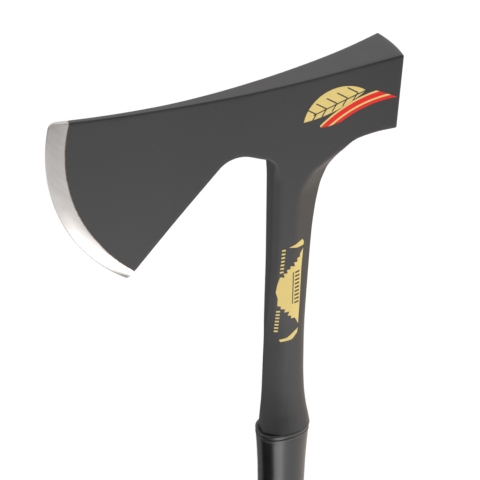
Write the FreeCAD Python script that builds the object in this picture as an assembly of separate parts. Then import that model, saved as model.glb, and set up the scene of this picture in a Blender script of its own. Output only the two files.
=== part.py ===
import FreeCAD, Part
import math
import os

# One-piece forged camp axe with a moulded grip.
# Frame: +Z up the handle, blade towards -X, poll towards +X, thickness along Y.
# Origin: centre of the grip's butt end.  Millimetres.

# ---- driving dimensions -------------------------------------------------
OVERALL_LENGTH = 660.0
GRIP_LENGTH = 428.0              # butt end to the steel collar

# head, seen from the side
POLL_X = 54.8                    # striking face
POLL_BOTTOM_Z = 619.3
TOP_SAG_X = -58.0                # lowest point of the hollow top line
TOP_SAG_Z = 649.1
TOP_RADIUS = 597.0
EDGE_X = -35.8                   # centre of the cutting edge's arc
EDGE_Z = 628.0
EDGE_RADIUS = 89.4
BEVEL_WIDTH = 9.0                # ground bit, measured square to the edge
BEVEL_HALF_ANGLE = 10.9
HEEL_X = -88.3
BEARD_SLOPE = 1.10
NOTCH_X = -32.1                  # where the beard line and the underside would meet
NOTCH_Z = 617.9
NOTCH_RADIUS = 14.7
SHANK_CORNER_Z = 609.8
SHANK_CORNER_RADIUS = 8.0
TOE_X = -121.9                   # where the edge meets the top line
TOE_RADIUS = 3.5
HEEL_RADIUS = 1.0

# half thickness of the head along X, the same all the way down each cheek
CHEEK = [(-135, 1.5), (-100, 1.75), (-66, 2.35), (-42, 3.75), (-18, 5.65),
         (6, 7.7), (30, 10.05), (46, 12.2), (60, 14.4)]
POLL_CHAMFER = 1.4

# shank
SHANK_FRONT_X = -10.3
SHANK_SPLIT_Z = 500.0            # flats above, a rounded oval below
SPLIT_FRONT_X = -11.7
REAR_SWEEP = [(11.1, 500), (11.9, 535), (14.0, 568), (17.9, 592),
              (23.0, 604.2), (31.2, 613.4), (41.3, 617.5), (53.4, POLL_BOTTOM_Z)]
REAR_FACET_SLOPE = 0.38
REAR_CREASE = [(490, 1.9), (530, 2.0), (560, 2.3), (585, 3.2), (598, 8.0), (607, 20.5), (611, 30.0)]
FRONT_FACET_SLOPE = 1.2
FRONT_CREASE = [(490, -8.4), (545, -8.3), (585, -8.5), (600, -9.4), (608, -12.0)]

# oval part of the shank: height, front X, rear X, half thickness, squareness
SHANK_OVALS = [(472, -12.5, 11.6, 6.5, 2.5), (455, -13.0, 12.3, 7.1, 2.5),
               (442, -13.5, 13.7, 8.5, 2.5), (434, -13.8, 15.0, 9.7, 2.5),
               (GRIP_LENGTH, -13.9, 16.0, 10.8, 2.5)]
SECTION_CORNERS = [35, -35, -81, -128, -157, -203, -232, -279]    # degrees round the oval

# tang, hidden in the grip
TANG_TOP = (19.0, 8.6)
TANG_BOTTOM = (15.0, 7.0)
TANG_END_Z = 34.0
TANG_OVERLAP = 3.0
KEY_HOLES_Z = [110, 220, 330]    # the grip flows through these and keys itself
KEY_HOLE_RADIUS = 3.2

# grip: height, half width along X, half thickness along Y
GRIP_OVALS = [(0, 15.2, 9.2), (2.5, 18.2, 11.6), (9, 20.4, 13.2), (22, 20.2, 13.0), (42, 17.2, 11.9),
              (75, 15.4, 11.2), (140, 16.3, 11.9), (220, 15.6, 11.3), (300, 14.2, 10.2),
              (360, 13.9, 9.9), (395, 14.25, 10.0), (412, 14.8, 10.3), (422, 15.4, 10.6)]
GRIP_SQUARENESS = 2.4
LIP_BEADS = [(423.2, 424.6), (426.0, 427.9)]
BEAD_PROUD = 0.3
HANG_HOLE_Z = 20.0
HANG_HOLE_RADIUS = 4.0

# printed films on the near side
FILM = 0.15
RIBBON_CENTRE = (57.0, 579.5)    # the emblem's ribbon is four bands about one centre
RIBBON_GOLD = [(59.4, 60.4), (63.2, 64.2)]
RIBBON_RED = [(57.6, 59.4), (60.4, 63.2)]
RIBBON_LEFT_CUT = [(13.8, 624.3), (23.9, 626.7)]
RIBBON_RIGHT_CUT = [(52.8, 637.0), (41.4, 642.0)]
LEAF_TIP = (4.5, 629.5)
LEAF_STEM = (36.5, 642.7)
LEAF_TOP = (17.0, 645.0)         # a point on the upper margin
LEAF_BOTTOM = (18.5, 632.6)      # a point on the lower margin
VEIN_WIDTH = 0.7
VEIN_COUNT = 5
MIDRIB_START = (5.0, 3.2)        # from the tip
VEIN_UP = (-5.5, 3.6)            # from the midrib to the upper and the lower margin
VEIN_DOWN = (-2.4, -4.2)
PANEL_RIGHT = [(5.3, 503.5), (5.7, 515.0), (6.4, 540.0), (7.3, 552.6)]
PANEL_SIDE_TOP = (-6.2, 537.5)    # plain left side of the panel, between its rows of firs
PANEL_SIDE = [(-7.4, 533.0), (-8.1, 527.5), (-6.9, 523.0)]
PANEL_SIDE_BOTTOM = (-7.0, 518.0)
PANEL_FIRS_TOP = (5.2, 549.8)
PANEL_FIRS_BOTTOM = (2.6, 506.2)
PANEL_TOP_STRIP = [(-1.6, 555.8), (4.4, 554.6), (7.4, 554.6), (7.6, 556.6), (6.6, 558.6)]
PANEL_BOTTOM_STRIP = [(5.3, 500.6), (2.4, 498.4), (-1.4, 495.4), (-5.4, 494.2), (-4.8, 492.7),
                      (1.8, 493.8), (4.7, 497.2)]
FIR_WIDTH = 2.6
FIR_DEPTH = 1.7
TICK_SIZE = (2.0, 1.0)
TICK_PITCH = 2.3
TICK_COUNT = 7
TICK_COLUMNS = [(-5.4, 554.0, -0.16), (-7.4, 513.5, -0.12)]    # x, first z, drift of x each step
SCALE_LEFT_X = 0.9
SCALE_TOP_Z = 539.5
SCALE_BARS = 9
SCALE_PITCH = 2.5
SCALE_BAR_SIZE = (3.0, 1.2)
SCALE_RULE_WIDTH = 0.6
SCALE_BAR_OFFSET = 1.3

FAR = 60.0                       # reach of cutting tools past the work
FRONT_CUTTER_REACH = 12.0        # stops short of the blade
FACET_CUTTER_BACK = 3.0          # facet cutters start this far inside their crease
EDGE_TRIM_BOTTOM_Z = 520.0
WEDGE_BOTTOM_Z = 480.0
WEDGE_HEIGHT = 200.0
CORNER_REACH = 3.0               # how near its corner an edge to be rounded lies


def vec(x, y, z):
    return FreeCAD.Vector(x, y, z)


def extrude_y(face, reach):
    """Solid from -reach to +reach along Y of a face drawn in the XZ plane."""
    moved = face.translated(vec(0, -reach, 0))
    return moved.extrude(vec(0, 2 * reach, 0))


def polygon(points):
    """Closed wire through 3-D points."""
    return Part.makePolygon(points + [points[0]])


def spline(points):
    curve = Part.BSplineCurve()
    curve.interpolate(points)
    return curve.toShape()


def y_edges_near(shape, x, z, reach):
    """Edges that run along Y and pass within reach of (x, z)."""
    found = []
    for edge in shape.Edges:
        ends = [v.Point for v in edge.Vertexes]
        if len(ends) != 2:
            continue
        along_y = abs(ends[0].y - ends[1].y) > 0.5 * edge.Length
        close = math.hypot(ends[0].x - x, ends[0].z - z) < reach
        if along_y and close:
            found.append(edge)
    return found


# ---- forging ------------------------------------------------------------
def corner_arc(before, corner, after, radius):
    """Arc that rounds a corner, with its two tangent points, in the XZ plane."""
    into = (before - corner).normalize()
    out = (after - corner).normalize()
    half = into.getAngle(out) / 2
    reach = radius / math.tan(half)
    start = corner + into * reach
    end = corner + out * reach
    middle_line = (into + out).normalize()
    middle = corner + middle_line * (radius / math.sin(half) - radius)
    return start, end, Part.Arc(start, middle, end).toShape()


def side_outline():
    """Side view of head and upper shank, left oversize at the edge and along the top."""
    top_left = vec(EDGE_X - EDGE_RADIUS - 10, 0, OVERALL_LENGTH + 10)
    below_heel = vec(HEEL_X - 14, 0, NOTCH_Z + BEARD_SLOPE * (HEEL_X - 14 - NOTCH_X))
    notch = vec(NOTCH_X, 0, NOTCH_Z)
    shank_corner = vec(SHANK_FRONT_X, 0, SHANK_CORNER_Z)
    shank_foot = vec(SPLIT_FRONT_X, 0, SHANK_SPLIT_Z)
    notch_in, notch_out, notch_arc = corner_arc(below_heel, notch, shank_corner, NOTCH_RADIUS)
    shank_in, shank_out, shank_arc = corner_arc(notch, shank_corner, shank_foot, SHANK_CORNER_RADIUS)
    rear = [vec(x, 0, z) for x, z in REAR_SWEEP]
    top_right = vec(POLL_X + 0.3, 0, OVERALL_LENGTH + 10)
    edges = [
        Part.makeLine(top_left, below_heel),
        Part.makeLine(below_heel, notch_in),
        notch_arc,
        Part.makeLine(notch_out, shank_in),
        shank_arc,
        Part.makeLine(shank_out, shank_foot),
        Part.makeLine(shank_foot, rear[0]),
        spline(rear),
        Part.makeLine(rear[-1], top_right),
        Part.makeLine(top_right, top_left),
    ]
    return Part.Face(Part.Wire(edges))


def cylinder_y(x, z, radius, reach=FAR):
    return Part.makeCylinder(radius, 2 * reach, vec(x, -reach, z), vec(0, 1, 0))


def side_blank():
    """Slab with the finished side view: hollow top line, edge arc, toe and heel corners."""
    slab = extrude_y(side_outline(), FAR / 2)
    slab = slab.cut(cylinder_y(TOP_SAG_X, TOP_SAG_Z + TOP_RADIUS, TOP_RADIUS))
    beyond = Part.makeBox(FAR, 2 * FAR, 3 * FAR, vec(EDGE_X - EDGE_RADIUS - 20, -FAR, EDGE_TRIM_BOTTOM_Z))
    slab = slab.cut(beyond.cut(cylinder_y(EDGE_X, EDGE_Z, EDGE_RADIUS, 2 * FAR)))
    toe_z = TOP_SAG_Z + TOP_RADIUS - math.sqrt(TOP_RADIUS ** 2 - (TOE_X - TOP_SAG_X) ** 2)
    slab = slab.makeFillet(TOE_RADIUS, y_edges_near(slab, TOE_X, toe_z, CORNER_REACH))
    heel_z = NOTCH_Z + BEARD_SLOPE * (HEEL_X - NOTCH_X)
    slab = slab.makeFillet(HEEL_RADIUS, y_edges_near(slab, HEEL_X, heel_z, CORNER_REACH))
    return slab


def wedge():
    """Thickness of the head: both cheeks as one wedge, straight along Z."""
    near = [vec(x, -h, WEDGE_BOTTOM_Z) for x, h in CHEEK]
    far = [vec(x, h, WEDGE_BOTTOM_Z) for x, h in CHEEK]
    edges = [spline(near), Part.makeLine(near[-1], far[-1]), spline(far), Part.makeLine(far[0], near[0])]
    face = Part.Face(Part.Wire(Part.__sortEdges__(edges)))
    return face.extrude(vec(0, 0, WEDGE_HEIGHT))


def cheek_half(x):
    """Half thickness of the head at x, by straight lines between the cheek's points."""
    for (x0, h0), (x1, h1) in zip(CHEEK, CHEEK[1:]):
        if x <= x1:
            return h0 + (h1 - h0) * (x - x0) / (x1 - x0)
    return CHEEK[-1][1]


def facet_cutter(crease, slope, direction, side, reach):
    """Tool that flattens one long corner of the shank outside its crease line."""
    back = FACET_CUTTER_BACK
    sections = []
    for z, x in crease:
        h = cheek_half(x)
        corners = [(-back, h + slope * back), (reach, h - slope * reach), (reach, FAR), (-back, FAR)]
        points = [vec(x + direction * u, side * y, z) for u, y in corners]
        sections.append(polygon(points))
    return Part.makeLoft(sections, True, True)


def bevel_cutter(side):
    """Ring-shaped wedge that grinds one side of the bit, round the edge arc's centre."""
    slope = math.tan(math.radians(BEVEL_HALF_ANGLE))
    inner = EDGE_RADIUS - 2 * BEVEL_WIDTH
    outer = EDGE_RADIUS + 5
    profile = [(inner, (EDGE_RADIUS - inner) * slope), (outer, (EDGE_RADIUS - outer) * slope),
               (outer, FAR / 2), (inner, FAR / 2)]
    wire = polygon([vec(EDGE_X + r, side * y, EDGE_Z) for r, y in profile])
    ring = Part.Face(wire).revolve(vec(EDGE_X, 0, EDGE_Z), vec(0, 1, 0), 360)
    left_half = Part.makeBox(2 * FAR, 2 * FAR, 4 * FAR, vec(EDGE_X - 2 * FAR - 30, -FAR, EDGE_Z - 2 * FAR))
    return ring.common(left_half)


def poll_edges(shape):
    """The edges round the striking face."""
    found = []
    for edge in shape.Edges:
        box = edge.BoundBox
        if box.XMin > POLL_X - 2.0 and box.ZMin > POLL_BOTTOM_Z - 1:
            found.append(edge)
    return found


def head_and_upper_shank():
    body = side_blank().common(wedge())
    body = body.makeChamfer(POLL_CHAMFER, poll_edges(body))
    for side in (-1, 1):
        body = body.cut(facet_cutter(REAR_CREASE, REAR_FACET_SLOPE, 1, side, FAR))
        body = body.cut(facet_cutter(FRONT_CREASE, FRONT_FACET_SLOPE, -1, side, FRONT_CUTTER_REACH))
        body = body.cut(bevel_cutter(side))
    return body


def oval_point(front, rear, half, squareness, degrees, z):
    """Point on a rounded section; 0 degrees is the rear, 270 the near side."""
    angle = math.radians(degrees)
    c = math.cos(angle)
    s = math.sin(angle)
    power = 2.0 / squareness
    middle = (front + rear) / 2
    x = middle + (rear - front) / 2 * math.copysign(abs(c) ** power, c)
    y = half * math.copysign(abs(s) ** power, s)
    return vec(x, y, z)


def oval_wire(front, rear, half, squareness, z, count=24):
    points = [oval_point(front, rear, half, squareness, 360.0 * i / count, z) for i in range(count)]
    curve = Part.BSplineCurve()
    curve.interpolate(points, True)
    return Part.Wire(curve.toShape())


def cornered_section(z, front, rear, half, squareness):
    """The same section drawn as eight curves, one for each side of the flat-sided shank."""
    steps = 6
    ends = SECTION_CORNERS[1:] + [SECTION_CORNERS[0] - 360]
    edges = []
    for start, end in zip(SECTION_CORNERS, ends):
        turns = [start + (end - start) * i / steps for i in range(steps + 1)]
        edges.append(spline([oval_point(front, rear, half, squareness, turn, z) for turn in turns]))
    return Part.Wire(edges)


def foot_outline(upper):
    """Outline of the flat-sided shank where it hands over to the oval."""
    feet = [face for face in upper.Faces if face.BoundBox.ZMax < SHANK_SPLIT_Z + 1e-4]
    return feet[0].OuterWire


def lower_shank(upper):
    """Shank from the flats down through the oval to the flared collar."""
    sections = [foot_outline(upper)]
    for z, front, rear, half, squareness in SHANK_OVALS:
        sections.append(cornered_section(z, front, rear, half, squareness))
    return Part.makeLoft(sections, True, False)


def tang():
    """Tapered bar inside the grip, with its key holes."""
    sections = []
    for z, (wide, thick) in ((TANG_END_Z, TANG_BOTTOM), (GRIP_LENGTH + TANG_OVERLAP, TANG_TOP)):
        x = wide / 2
        y = thick / 2
        sections.append(polygon([vec(-x, -y, z), vec(x, -y, z), vec(x, y, z), vec(-x, y, z)]))
    bar = Part.makeLoft(sections, True, True)
    for z in KEY_HOLES_Z:
        bar = bar.cut(cylinder_y(0, z, KEY_HOLE_RADIUS))
    return bar


def forging():
    upper = head_and_upper_shank()
    lower = lower_shank(upper)
    return upper.fuse(lower).fuse(tang()).removeSplitter()


# ---- grip ---------------------------------------------------------------
def grip_section(z, half_x, half_y, grow=0.0):
    return oval_wire(-half_x - grow, half_x + grow, half_y + grow, GRIP_SQUARENESS, z)


def lip():
    """Stepped top of the grip: a plain land with two fine beads, up to the collar."""
    top_z, half_x, half_y = GRIP_OVALS[-1]
    land = Part.Face(grip_section(top_z, half_x, half_y)).extrude(vec(0, 0, GRIP_LENGTH - top_z))
    for low, high in LIP_BEADS:
        face = Part.Face(grip_section(low, half_x, half_y, BEAD_PROUD))
        land = land.fuse(face.extrude(vec(0, 0, high - low)))
    return land


def grip():
    """Moulded sleeve; what fills the tang's key holes is part of it."""
    body = Part.makeLoft([grip_section(*oval) for oval in GRIP_OVALS], True, False)
    body = body.fuse(lip())
    body = body.cut(cylinder_y(0, HANG_HOLE_Z, HANG_HOLE_RADIUS))
    return body.cut(tang())


# ---- printed films ------------------------------------------------------
def flat(x, z):
    return vec(x, 0, z)


def flat_face(points):
    return Part.Face(polygon([flat(x, z) for x, z in points]))


def disc(centre, radius):
    circle = Part.Circle(flat(*centre), vec(0, 1, 0), radius)
    return Part.Face(Part.Wire(circle.toShape()))


def ribbon_bands(radii):
    """Bands of the ribbon between its two slanting ends."""
    (left_high, left_low) = RIBBON_LEFT_CUT
    (right_low, right_high) = RIBBON_RIGHT_CUT
    above = [(right_high[0] - 10, right_high[1] + 6), (left_high[0] - 6, left_high[1] + 16)]
    below = [(left_low[0] + 10, left_low[1] - 2), (right_low[0], right_low[1] - 3)]
    window = flat_face([left_high, left_low] + below + [right_low, right_high] + above)
    bands = [disc(RIBBON_CENTRE, outer).cut(disc(RIBBON_CENTRE, inner)) for inner, outer in radii]
    return [band.common(window) for band in bands]


def strip(start, end, width):
    """Straight strip of a given width between two points."""
    dx = end[0] - start[0]
    dz = end[1] - start[1]
    length = math.hypot(dx, dz)
    sx = -dz / length * width / 2
    sz = dx / length * width / 2
    return flat_face([(start[0] + sx, start[1] + sz), (end[0] + sx, end[1] + sz),
                      (end[0] - sx, end[1] - sz), (start[0] - sx, start[1] - sz)])


def leaf():
    """Pointed leaf with its veins left open."""
    tip = flat(*LEAF_TIP)
    stem = flat(*LEAF_STEM)
    upper = Part.Arc(tip, flat(*LEAF_TOP), stem).toShape()
    lower = Part.Arc(stem, flat(*LEAF_BOTTOM), tip).toShape()
    face = Part.Face(Part.Wire([upper, lower]))
    face = face.cut(strip((LEAF_TIP[0] + MIDRIB_START[0], LEAF_TIP[1] + MIDRIB_START[1]), LEAF_STEM, VEIN_WIDTH))
    for i in range(VEIN_COUNT):
        along = (i + 1.2) / (VEIN_COUNT + 1)
        x = LEAF_TIP[0] + (LEAF_STEM[0] - LEAF_TIP[0]) * along
        z = LEAF_TIP[1] + (LEAF_STEM[1] - LEAF_TIP[1]) * along + 1.0
        for dx, dz in (VEIN_UP, VEIN_DOWN):
            face = face.cut(strip((x, z), (x + dx, z + dz), VEIN_WIDTH))
    return face


def fir_edge(start, end):
    """Row of fir tops between two points: points of a saw-toothed edge."""
    dx = end[0] - start[0]
    dz = end[1] - start[1]
    length = math.hypot(dx, dz)
    count = int(length / FIR_WIDTH)
    points = []
    for i in range(count):
        base = i / count
        top = (i + 0.5) / count
        depth = FIR_DEPTH * (0.7 + 0.3 * (i % 3))
        points.append((start[0] + dx * base, start[1] + dz * base))
        x = start[0] + dx * top - dz / length * depth
        z = start[1] + dz * top + dx / length * depth
        points.append((x, z))
    return points


def scale_marks():
    """Plain graduations left open in the panel: a rule and evenly spaced bars."""
    wide, high = SCALE_BAR_SIZE
    bottom = SCALE_TOP_Z - (SCALE_BARS - 1) * SCALE_PITCH - high
    marks = [flat_face([(SCALE_LEFT_X, bottom), (SCALE_LEFT_X + SCALE_RULE_WIDTH, bottom),
                        (SCALE_LEFT_X + SCALE_RULE_WIDTH, SCALE_TOP_Z), (SCALE_LEFT_X, SCALE_TOP_Z)])]
    for i in range(SCALE_BARS):
        x = SCALE_LEFT_X + SCALE_BAR_OFFSET
        z = SCALE_TOP_Z - i * SCALE_PITCH - high
        marks.append(flat_face([(x, z), (x + wide, z), (x + wide, z + high), (x, z + high)]))
    return marks


def label_faces():
    """Gold label of the shank: panel, its two end strips and the columns of ticks."""
    upper_firs = fir_edge(PANEL_FIRS_TOP, PANEL_SIDE_TOP)
    lower_firs = fir_edge(PANEL_SIDE_BOTTOM, PANEL_FIRS_BOTTOM)
    panel = flat_face(PANEL_RIGHT + upper_firs + [PANEL_SIDE_TOP] + PANEL_SIDE + lower_firs)
    for mark in scale_marks():
        panel = panel.cut(mark)
    faces = [panel, flat_face(PANEL_TOP_STRIP), flat_face(PANEL_BOTTOM_STRIP)]
    wide, high_tick = TICK_SIZE
    for first_x, first_z, drift in TICK_COLUMNS:
        for i in range(TICK_COUNT):
            x = first_x + i * drift
            z = first_z - i * TICK_PITCH
            faces.append(flat_face([(x, z), (x + wide, z), (x + wide, z + high_tick), (x, z + high_tick)]))
    return faces


def film(faces, raised, steel):
    """Thin film of the given outlines lying on the near side of the steel."""
    pieces = []
    for face in faces:
        prism = face.translated(vec(0, -FAR / 2, 0)).extrude(vec(0, FAR / 2, 0))
        pieces.extend(raised.common(prism).cut(steel).Solids)
    return Part.makeCompound(pieces)


def main():
    os.makedirs("parts", exist_ok=True)
    steel = forging()
    raised = steel.translated(vec(0, -FILM, 0))
    pieces = {
        "axe_forging": steel,
        "grip": grip(),
        "emblem_gold": film([leaf()] + ribbon_bands(RIBBON_GOLD), raised, steel),
        "emblem_red": film(ribbon_bands(RIBBON_RED), raised, steel),
        "shank_label": film(label_faces(), raised, steel),
    }
    for name, shape in pieces.items():
        print(name, shape.isValid(), len(shape.Solids), round(shape.Volume / 1000, 3), "cm3")
        shape.exportStep("parts/" + name + ".step")


main()
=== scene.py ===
import math

import bmesh
import bpy
import numpy as np
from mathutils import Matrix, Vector
from mathutils.geometry import delaunay_2d_cdt


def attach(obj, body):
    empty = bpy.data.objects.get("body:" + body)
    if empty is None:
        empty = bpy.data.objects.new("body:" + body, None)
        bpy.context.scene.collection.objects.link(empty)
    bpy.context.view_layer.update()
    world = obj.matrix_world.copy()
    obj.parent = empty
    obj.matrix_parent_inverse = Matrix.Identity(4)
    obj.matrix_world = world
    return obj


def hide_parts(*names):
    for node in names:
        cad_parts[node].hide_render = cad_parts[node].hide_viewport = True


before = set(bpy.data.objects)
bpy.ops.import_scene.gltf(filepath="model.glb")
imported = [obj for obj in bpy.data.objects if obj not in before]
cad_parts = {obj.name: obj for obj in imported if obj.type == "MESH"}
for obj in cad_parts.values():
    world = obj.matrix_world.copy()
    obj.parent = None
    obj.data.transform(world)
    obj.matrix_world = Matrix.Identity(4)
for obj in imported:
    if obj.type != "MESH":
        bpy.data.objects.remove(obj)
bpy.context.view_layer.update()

# Lengths are millimetres in the object's own frame: +Z up the handle, blade towards -X,
# thickness along Y.  They become metres when a mesh is made.
MM = 0.001

# ---- the forging's driving sizes ----------------------------------------
TOP_SAG = (-58.0, 649.1)          # lowest point of the hollow top line
TOP_RADIUS = 597.0
EDGE_CENTRE = np.array([-35.8, 628.0])
EDGE_RADIUS = 89.4
EDGE_TOE_TURN = math.radians(164.3)
EDGE_HEEL_TURN = math.radians(233.2)
EDGE_LAND = 0.03                  # half the width left at the very edge
HONED_SLOPE = 0.6                 # the last of the edge is honed steeper
BEVEL_OFFSET = 0.14
BEVEL_ROUNDING = 0.6              # 0 is a flat bevel; more is more convex
BEVEL_END_X = -50.0               # no bevel this side of the head
# Bevel width by angle round the edge, in degrees.
BEVEL_WIDTHS = [(160, 9.2), (185, 9.2), (200, 9.0), (214, 8.5), (224, 7.3), (234, 6.0)]
NOTCH = np.array([-32.1, 617.9])
BEARD_SLOPE = 1.10
HEEL_X = -88.3
SHANK_CORNER = np.array([-10.25, 609.6])
POLL_BOTTOM = np.array([53.9, 618.9])
POLL_TOP_X = 55.1
COLLAR_Z = 428.0
TANG_TOP = (9.5, 4.3)             # half width and half thickness
TANG_BOTTOM = (7.5, 3.5)
TANG_END_Z = 34.0
TOE_RADIUS = 3.5
HEEL_RADIUS = 1.0
NOTCH_RADIUS = 14.7
SHANK_CORNER_RADIUS = 5.5
POLL_RADIUS = 0.9
POLL_CROWN = 1.2                  # the striking face bulges a little across its width

CHEEK = [(-135, 1.5), (-100, 1.75), (-66, 2.35), (-42, 3.75), (-18, 5.65),
         (6, 7.7), (30, 10.05), (46, 12.3), (60, 14.7)]
SHANK_FRONT = [(428, -13.9), (436, -13.75), (444, -13.5), (451, -13.15), (458, -12.9), (466, -12.7),
               (480, -12.4), (500, -11.8), (530, -10.8), (555, -10.4), (590, -10.25), (620, -10.25)]
SHANK_REAR = [(428, 16.1), (434, 15.1), (442, 13.7), (455, 12.3), (472, 11.6), (500, 11.3), (535, 11.9),
              (562, 13.3), (571, 14.3), (578, 15.3), (584, 16.5), (592, 18.3), (620, 26.0)]
REAR_SWEEP = [(18.4, 592), (20.5, 598.5), (23.2, 604.5), (26.3, 609.7), (31.0, 614.0), (41.5, 617.4),
              (53.9, 618.9)]
SHANK_HALF = [(428, 10.8), (434, 9.7), (442, 8.3), (455, 7.0), (472, 6.4), (500, 6.5), (545, 7.2)]
# The flat front of the shank: half its width, and how full the near face is behind it.
FRONT_FLAT = [(428, 3.6), (434, 2.6), (442, 1.8), (450, 1.4), (460, 1.3), (485, 1.3), (510, 1.4),
              (545, 2.3), (575, 3.0), (620, 3.3)]
FRONT_FULLNESS = [(428, 2.3), (442, 1.8), (460, 1.45), (545, 1.4)]
REAR_CREASE = [(480, 1.9), (530, 2.0), (560, 2.3), (585, 3.4), (598, 9.0), (604, 15.8), (607, 20.3),
               (610, 25.2), (613, 31.0), (615, 40), (617, 60), (700, 90)]
REAR_FACET_SLOPE = 0.38
OVAL_SQUARENESS = 2.5

# ---- the grip -----------------------------------------------------------
GRIP_SIZES = [(0, 14.6, 8.6), (0.5, 16.4, 10.2), (2.5, 18.6, 11.9), (5, 19.8, 12.8), (9, 20.4, 13.2),
              (22, 20.2, 13.0), (42, 17.2, 11.9), (75, 15.4, 11.2), (140, 16.3, 11.9), (220, 15.6, 11.3),
              (300, 14.2, 10.2), (360, 13.9, 9.9), (395, 14.3, 10.0), (412, 14.95, 10.3), (422, 15.5, 10.6),
              (428, 15.6, 10.7)]
GRIP_SQUARENESS = 2.4
GRIP_TOP_Z = 427.85
GRIP_AROUND = 128
LIP_BEADS = [(423.2, 424.6), (426.0, 427.5)]
BEAD_PROUD = 0.3
RIB_FIRST_Z = 84.0
RIB_LAST_Z = 238.0
RIB_PITCH = 7.0
RIB_DEPTH = 0.8
HANG_HOLE_Z = 20.0
HANG_HOLE_RADIUS = 4.0
HANG_RIM = 1.0

# ---- the prints ---------------------------------------------------------
FILM = 0.1
RIBBON_CENTRE = (57.0, 579.5)
RIBBON_GOLD = [(59.4, 60.4), (63.2, 64.2)]
RIBBON_RED = [(57.6, 59.4), (60.4, 63.2)]
RIBBON_LEFT_CUT = [(13.8, 624.3), (23.9, 626.7)]
RIBBON_RIGHT_CUT = [(52.8, 637.0), (41.4, 642.0)]
LEAF_TIP = (4.5, 629.5)
LEAF_STEM = (36.5, 642.7)
LEAF_TOP = (17.0, 645.0)
LEAF_BOTTOM = (18.5, 632.6)
VEIN_WIDTH = 0.7
VEIN_COUNT = 5
PANEL_RIGHT = [(5.3, 503.5), (5.7, 515.0), (6.4, 540.0), (7.3, 552.6)]
PANEL_SIDE_TOP = (-6.2, 537.5)
PANEL_SIDE = [(-7.4, 533.0), (-8.1, 527.5), (-6.9, 523.0)]
PANEL_SIDE_BOTTOM = (-7.0, 518.0)
PANEL_FIRS_TOP = (5.2, 549.8)
PANEL_FIRS_BOTTOM = (2.6, 506.2)
PANEL_TOP_STRIP = [(-1.6, 555.8), (4.4, 554.6), (7.4, 554.6), (7.6, 556.6), (6.6, 558.6)]
PANEL_BOTTOM_STRIP = [(5.3, 500.6), (2.4, 498.4), (-1.4, 495.4), (-5.4, 494.2), (-4.8, 492.7),
                      (1.8, 493.8), (4.7, 497.2)]
FIR_WIDTH = 2.6
FIR_DEPTH = 1.7
TICK_SIZE = (2.0, 1.0)
TICK_PITCH = 2.3
TICK_COUNT = 7
TICK_COLUMNS = [(-5.4, 554.0, -0.16), (-7.4, 513.5, -0.12)]
SCALE_LEFT_X = 0.9
SCALE_TOP_Z = 539.5
SCALE_BARS = 9
SCALE_PITCH = 2.5
SCALE_BAR_SIZE = (3.0, 1.2)

STEEL_METALLIC = 0.6              # fresh grinding scatters part of the light
STEEL_DARK = (0.380, 0.368, 0.354, 1)
STEEL_MID = (0.43, 0.417, 0.402, 1)
STEEL_BRIGHT = (0.49, 0.476, 0.461, 1)
BURNT_STEEL = (0.13, 0.062, 0.028, 1)   # the brown line where the grinding meets the coat

# ---- the view -----------------------------------------------------------
VIEW_TARGET = Vector((-0.02647, 0.0, 0.56283))
VIEW_DISTANCE = 0.71388
VIEW_AZIMUTH = math.radians(-22.7)
VIEW_ELEVATION = math.radians(34.3)
VIEW_LENS = 103.4


# ---- small numeric helpers ----------------------------------------------
def smooth(low, high, value):
    t = np.clip((np.asarray(value, float) - low) / (high - low), 0.0, 1.0)
    return t * t * (3 - 2 * t)


def through(table, at):
    """Smooth curve through a table of points that never overshoots between them."""
    xs, ys = np.array(table, float).T
    steps = np.diff(xs)
    rates = np.diff(ys) / steps
    slopes = np.empty(len(xs))
    slopes[0], slopes[-1] = rates[0], rates[-1]
    for i in range(1, len(xs) - 1):
        a, b = rates[i - 1], rates[i]
        slopes[i] = 0.0 if a * b <= 0 else 2 * a * b / (a + b)
    at = np.asarray(at, float)
    i = np.clip(np.searchsorted(xs, at) - 1, 0, len(steps) - 1)
    h = steps[i]
    t = np.clip((at - xs[i]) / h, 0.0, 1.0)
    rise = ys[i] * (1 + 2 * t) * (1 - t) ** 2 + ys[i + 1] * t * t * (3 - 2 * t)
    return rise + h * (slopes[i] * t * (1 - t) ** 2 - slopes[i + 1] * t * t * (1 - t))


def soft_min(a, b, radius):
    """Lower of two heights, with the corner between them rounded."""
    gap = np.clip(radius - np.abs(a - b), 0, None)
    return np.minimum(a, b) - gap * gap / (4 * radius)


def line(start, end, step):
    start, end = np.array(start, float), np.array(end, float)
    count = max(1, int(round(np.linalg.norm(end - start) / step)))
    return start + (end - start) * np.linspace(0, 1, count + 1)[:, None]


def arc(centre, radius, start, end, step):
    count = max(2, int(round(abs(end - start) * radius / step)))
    turns = np.linspace(start, end, count + 1)
    return np.array(centre) + radius * np.c_[np.cos(turns), np.sin(turns)]


def spline_run(points, step):
    """Smooth run through points, by chord length."""
    points = np.array(points, float)
    chords = np.r_[0, np.cumsum(np.linalg.norm(np.diff(points, axis=0), axis=1))]
    tangents = np.gradient(points, chords, axis=0)
    at = np.linspace(0, chords[-1], int(chords[-1] / step) + 1)
    i = np.clip(np.searchsorted(chords, at) - 1, 0, len(chords) - 2)
    h = (chords[i + 1] - chords[i])[:, None]
    t = ((at - chords[i]) / h[:, 0])[:, None]
    value = points[i] * (1 + 2 * t) * (1 - t) ** 2 + points[i + 1] * t * t * (3 - 2 * t)
    return value + h * (tangents[i] * t * (1 - t) ** 2 - tangents[i + 1] * t * t * (1 - t))


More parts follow.
